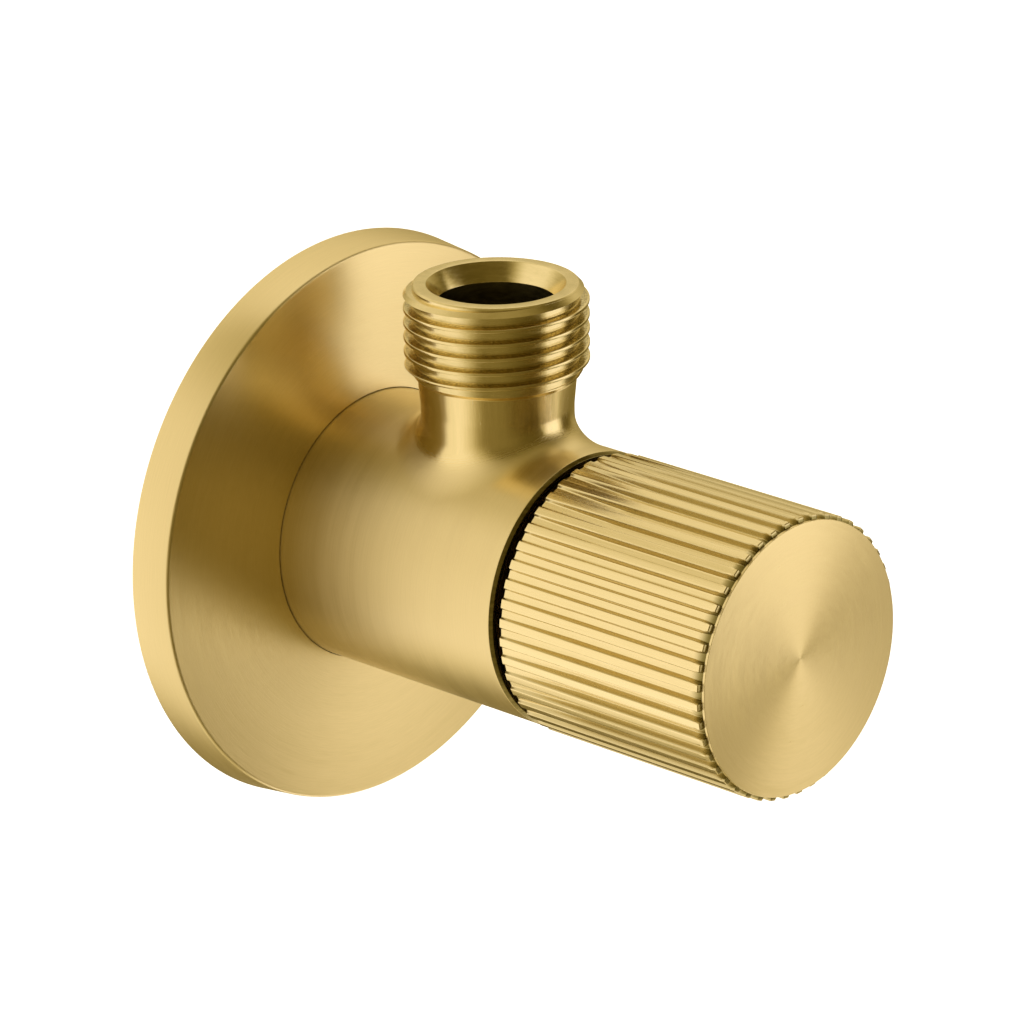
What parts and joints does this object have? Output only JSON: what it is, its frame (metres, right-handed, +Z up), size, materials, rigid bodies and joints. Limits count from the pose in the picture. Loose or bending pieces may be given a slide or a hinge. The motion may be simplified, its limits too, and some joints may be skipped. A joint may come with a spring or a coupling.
{
  "type": "angle stop valve",
  "caption": "Quarter-turn angle stop valve in brushed gold with a round wall flange, threaded upward outlet, rear inlet spigot and ribbed round handle.",
  "frame": {"origin": "centre of the wall plane on the main axis of the inlet, body and handle", "axes": "+Z up along the outlet, +Y into the wall along the inlet spigot, handle towards -Y, +X to the right seen from the front"},
  "size_m": [0.0534, 0.07, 0.0534],
  "materials": {
    "brushed_gold_body": "fine circumferential brushing, gold coated",
    "brushed_gold_flange": "concentric brushing, gold coated",
    "satin_gold_knob": "satin, gold coated",
    "spun_gold_cap": "spun concentric brushing, gold coated",
    "plain_brass": "machined",
    "black_rubber": "matte",
    "white_ceramic": "lapped",
    "white_acetal": "moulded",
    "stainless_steel": "bright"
  },
  "bodies": {
    "body": {"valve_body": "brushed_gold_body", "cartridge_housing": "plain_brass", "housing_o_ring": "black_rubber", "seat_seal": "black_rubber", "fixed_disc": "white_ceramic"},
    "handle": {"handle_knob": "satin_gold_knob", "handle_end_cap": "spun_gold_cap", "cap_o_ring": "black_rubber", "spline_adapter": "white_acetal", "handle_screw": "stainless_steel", "screw_lock_washer": "stainless_steel", "stem": "plain_brass", "stem_o_ring_lower": "black_rubber", "stem_o_ring_upper": "black_rubber", "thrust_washer": "white_acetal", "stem_circlip": "stainless_steel", "disc_driver": "white_acetal", "moving_disc": "white_ceramic"},
    "flange_ring": {"flange_grip_ring": "black_rubber"},
    "flange": {"wall_flange": "brushed_gold_flange"}
  },
  "joints": [
    {"name": "handle_turn", "type": "hinge", "parent": "body", "child": "handle", "pos_m": [0, 0, 0], "axis": [0, -1, 0], "range_deg": [0, 90]},
    {"name": "flange_slide", "type": "slide", "parent": "body", "child": "flange_ring", "axis": [0, -1, 0], "range_m": [0, 0.005]},
    {"name": "flange_spin", "type": "hinge", "parent": "flange_ring", "child": "flange", "pos_m": [0, 0, 0], "axis": [0, -1, 0], "continuous": true}
  ]
}
